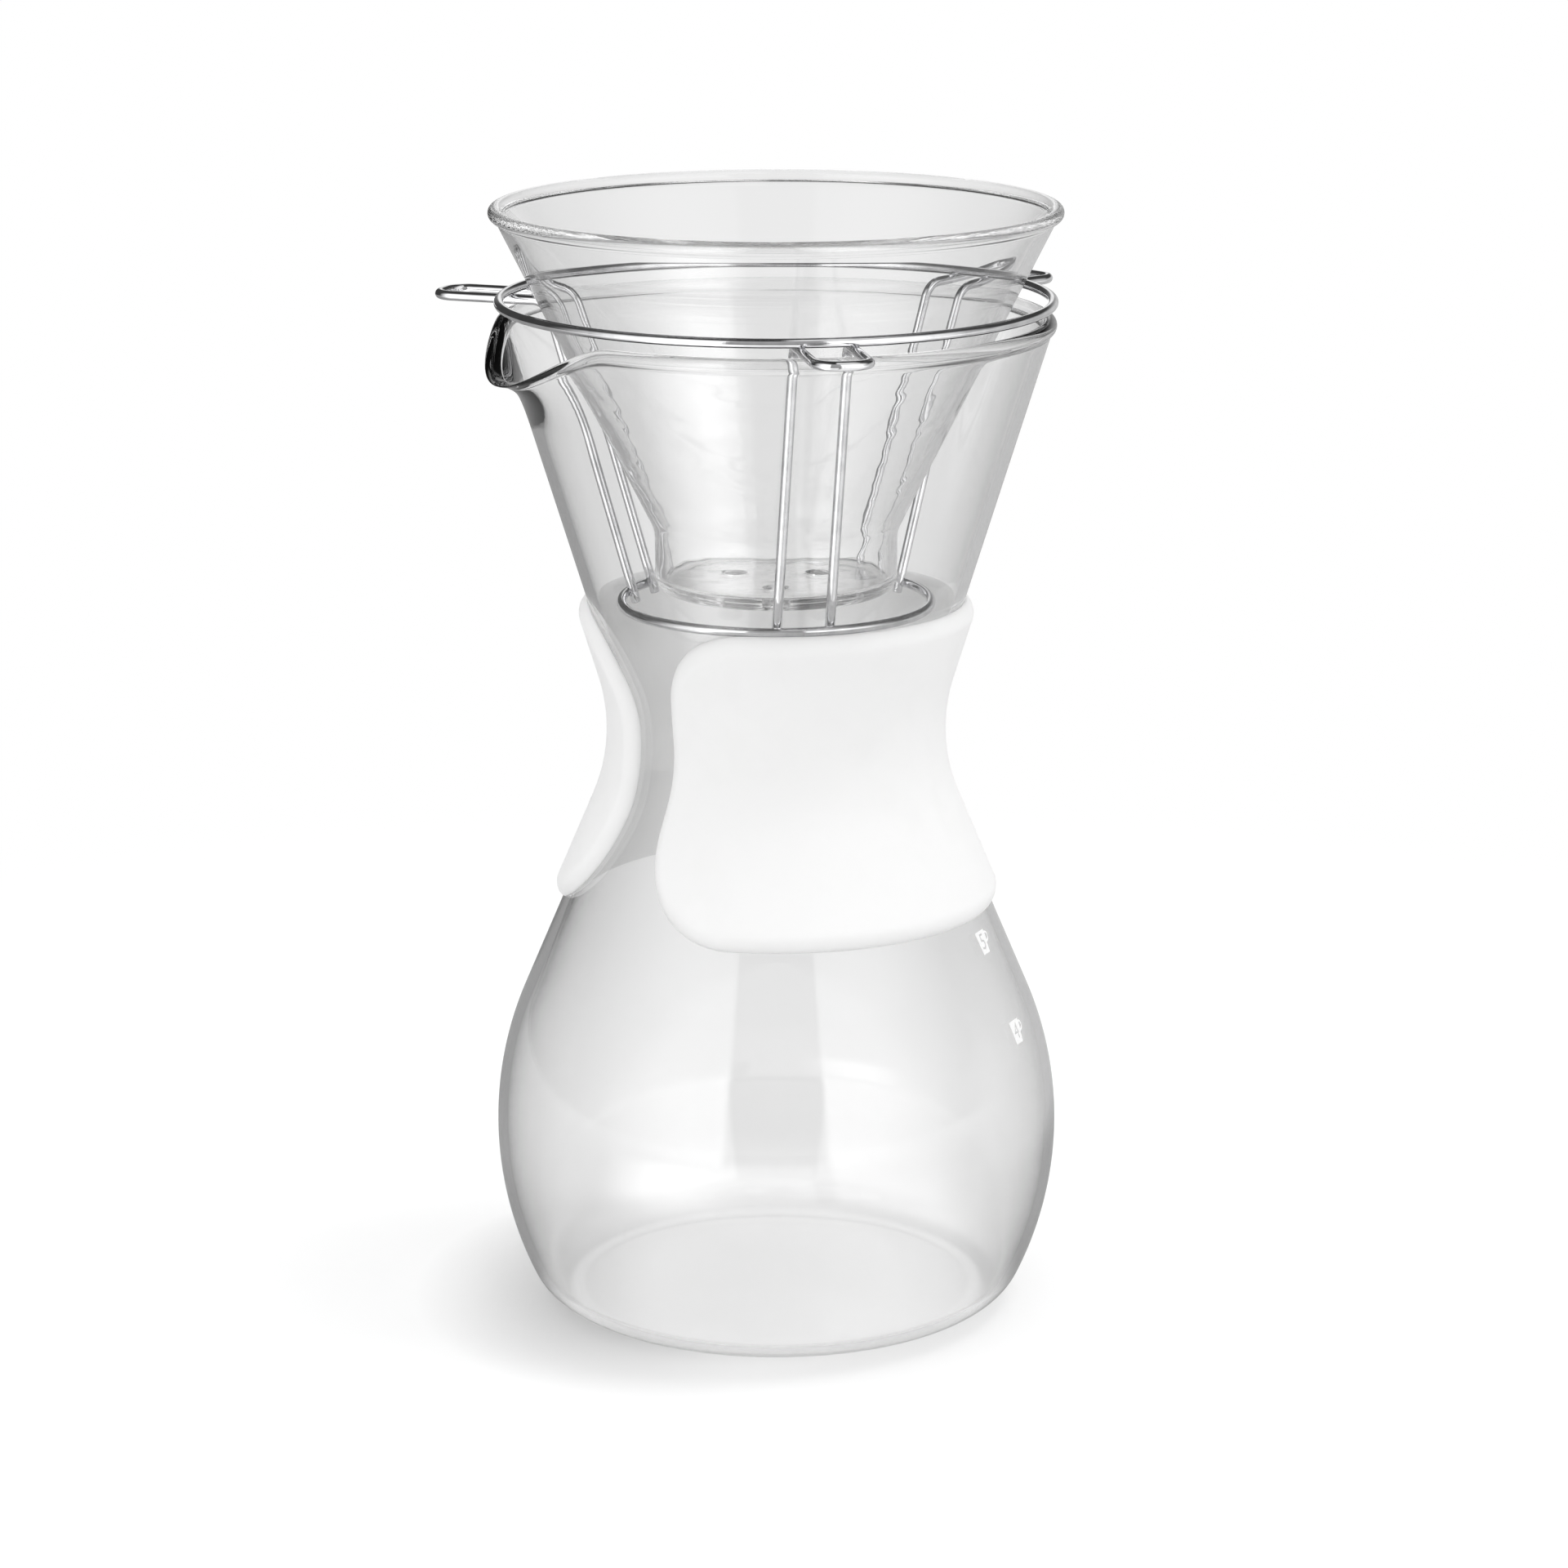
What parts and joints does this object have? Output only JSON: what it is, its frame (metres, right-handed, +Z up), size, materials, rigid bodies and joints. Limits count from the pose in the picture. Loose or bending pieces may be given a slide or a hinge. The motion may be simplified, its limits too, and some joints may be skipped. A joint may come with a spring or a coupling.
{
  "type": "pour-over coffee dripper set",
  "caption": "Waisted glass coffee carafe with a pouring spout and soft grip sleeve, a wire stand hung in its mouth, and a flat-bottomed glass cone dripper held by the stand.",
  "frame": {"origin": "centre of the carafe's flat base, on the surface it stands on", "axes": "+Z up along the carafe's axis; the pouring spout points to -X, the table's front is -Y"},
  "size_m": [0.132, 0.1295, 0.2283],
  "materials": {
    "carafe_glass": "clear polished",
    "grip_silicone": "matte silicone",
    "stand_wire": "polished stainless wire",
    "dripper_glass": "clear polished"
  },
  "bodies": {
    "carafe": {"carafe": "carafe_glass"},
    "grip": {"grip_sleeve": "grip_silicone"},
    "stand": {"upper_ring": "stand_wire", "lower_ring": "stand_wire", "hairpin_right": "stand_wire", "hairpin_back": "stand_wire", "hairpin_front": "stand_wire"},
    "dripper": {"dripper": "dripper_glass"}
  },
  "joints": [
    {"name": "stand_lift", "type": "slide", "parent": "carafe", "child": "stand", "axis": [0, 0, 1], "range_m": [0, 0.075]},
    {"name": "dripper_lift", "type": "slide", "parent": "stand", "child": "dripper", "axis": [0, 0, 1], "range_m": [0, 0.075]},
    {"name": "grip_turn", "type": "hinge", "parent": "carafe", "child": "grip", "pos_m": [0, 0, 0.1215], "axis": [0, 0, 1], "continuous": true}
  ]
}
